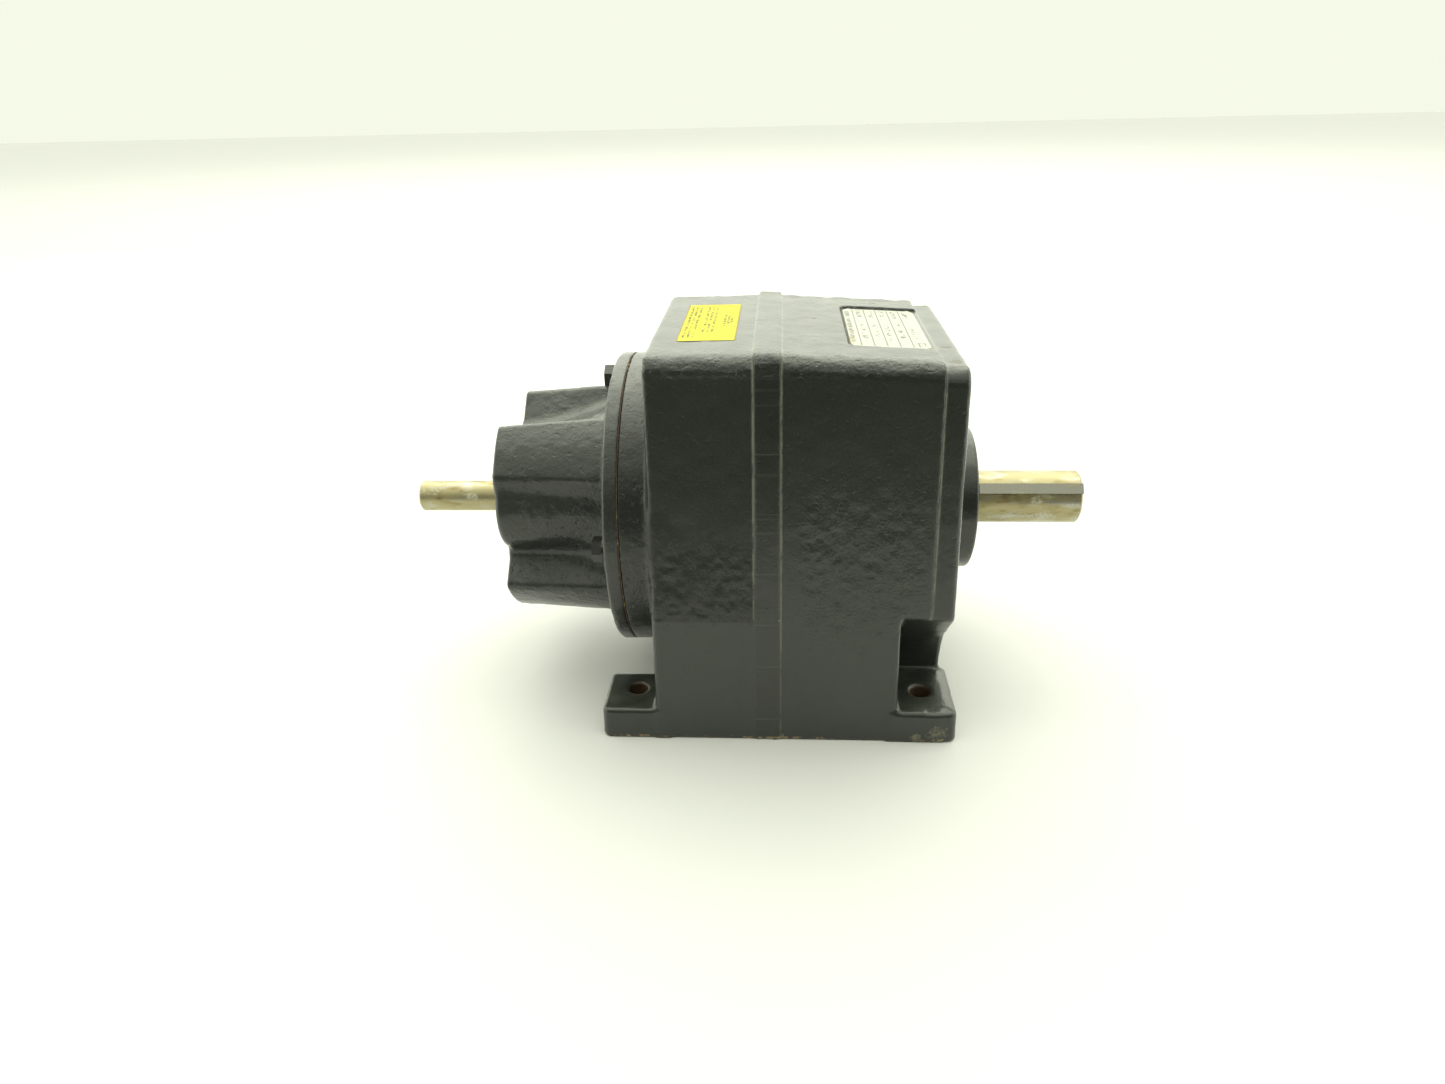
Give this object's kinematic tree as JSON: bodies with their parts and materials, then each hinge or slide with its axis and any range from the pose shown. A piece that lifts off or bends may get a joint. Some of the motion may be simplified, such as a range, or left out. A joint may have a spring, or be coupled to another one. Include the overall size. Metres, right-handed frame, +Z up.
{
  "type": "helical gear reducer",
  "caption": "Foot-mounted in-line helical gear reducer: cast box with a bolted lobed input bracket and coaxial input and output shafts.",
  "frame": {"origin": "centre of the foot hole pattern, on the foot plane", "axes": "+X along the shafts from the input side to the output side, +Z up from the foot plane, -Y towards the face seen first"},
  "size_m": [0.4084, 0.209, 0.2194],
  "materials": {
    "painted_iron": "semi-gloss charcoal-green enamel over sand-cast iron",
    "gasket_paper": "oil-soaked fibre gasket",
    "black_fastener": "black oxide, painted over",
    "spring_steel": "phosphated spring steel",
    "plug_steel": "black steel pipe plug",
    "seal_rubber": "matt nitrile rubber",
    "shaft_steel": "ground steel with dried amber rust preventive",
    "key_steel": "drawn key stock",
    "plate_metal": "matt printed metal plate",
    "pin_steel": "drive pins",
    "label_vinyl": "yellow film label",
    "cage_brass": "pressed brass",
    "ball_steel": "polished balls",
    "race_steel": "ground bearing steel",
    "gear_steel": "oiled hobbed steel"
  },
  "bodies": {
    "gearcase": {"housing": "painted_iron", "input_bracket": "painted_iron", "flange_gasket": "gasket_paper", "flange_bolts": "black_fastener", "flange_lock_washers": "black_fastener", "input_seal": "seal_rubber", "input_wave_washer": "gear_steel", "input_retaining_ring": "spring_steel", "output_seal": "seal_rubber", "output_retaining_ring": "spring_steel", "fill_plug": "plug_steel", "level_plug": "plug_steel", "drain_plug": "plug_steel", "nameplate": "plate_metal", "nameplate_pins": "pin_steel", "caution_label": "label_vinyl", "input_end_bearing_outer_race": "race_steel", "input_gear_bearing_outer_race": "race_steel", "counter_web_bearing_outer_race": "race_steel", "counter_wall_bearing_outer_race": "race_steel", "output_web_bearing_outer_race": "race_steel", "output_end_bearing_outer_race": "race_steel"},
    "input_line": {"input_shaft": "shaft_steel", "input_pinion": "gear_steel", "input_end_bearing_inner_race": "race_steel", "input_gear_bearing_inner_race": "race_steel"},
    "counter_line": {"counter_shaft": "shaft_steel", "counter_gear": "gear_steel", "counter_gear_key": "key_steel", "counter_retaining_ring": "spring_steel", "counter_spacer": "gear_steel", "counter_pinion": "gear_steel", "counter_web_bearing_inner_race": "race_steel", "counter_wall_bearing_inner_race": "race_steel"},
    "output_line": {"output_shaft": "shaft_steel", "output_gear": "gear_steel", "output_gear_key": "key_steel", "output_gear_spacer": "gear_steel", "output_key": "key_steel", "output_web_bearing_inner_race": "race_steel", "output_end_bearing_inner_race": "race_steel"},
    "input_ball_sets": {"input_end_bearing_balls": "ball_steel", "input_end_bearing_cage": "cage_brass", "input_gear_bearing_balls": "ball_steel", "input_gear_bearing_cage": "cage_brass"},
    "counter_ball_sets": {"counter_web_bearing_balls": "ball_steel", "counter_web_bearing_cage": "cage_brass", "counter_wall_bearing_balls": "ball_steel", "counter_wall_bearing_cage": "cage_brass"},
    "output_ball_sets": {"output_web_bearing_balls": "ball_steel", "output_web_bearing_cage": "cage_brass", "output_end_bearing_balls": "ball_steel", "output_end_bearing_cage": "cage_brass"}
  },
  "joints": [
    {"name": "output_spin", "type": "hinge", "parent": "gearcase", "child": "output_line", "pos_m": [0, 0, 0.1084], "axis": [1, 0, 0], "continuous": true},
    {"name": "counter_spin", "type": "hinge", "parent": "gearcase", "child": "counter_line", "pos_m": [0, 0, 0.1644], "axis": [1, 0, 0], "continuous": true},
    {"name": "input_spin", "type": "hinge", "parent": "gearcase", "child": "input_line", "pos_m": [0, 0, 0.1084], "axis": [1, 0, 0], "continuous": true},
    {"name": "output_ball_sets_spin", "type": "hinge", "parent": "gearcase", "child": "output_ball_sets", "pos_m": [0, 0, 0.1084], "axis": [1, 0, 0], "continuous": true},
    {"name": "counter_ball_sets_spin", "type": "hinge", "parent": "gearcase", "child": "counter_ball_sets", "pos_m": [0, 0, 0.1644], "axis": [1, 0, 0], "continuous": true},
    {"name": "input_ball_sets_spin", "type": "hinge", "parent": "gearcase", "child": "input_ball_sets", "pos_m": [0, 0, 0.1084], "axis": [1, 0, 0], "continuous": true}
  ],
  "couplings": [
    {"joint": "counter_spin", "follows": "output_spin", "ratio": -2.2941},
    {"joint": "input_spin", "follows": "output_spin", "ratio": 7.4941},
    {"joint": "output_ball_sets_spin", "follows": "output_spin", "ratio": 0.4},
    {"joint": "counter_ball_sets_spin", "follows": "output_spin", "ratio": -0.87176},
    {"joint": "input_ball_sets_spin", "follows": "output_spin", "ratio": 2.9976}
  ]
}
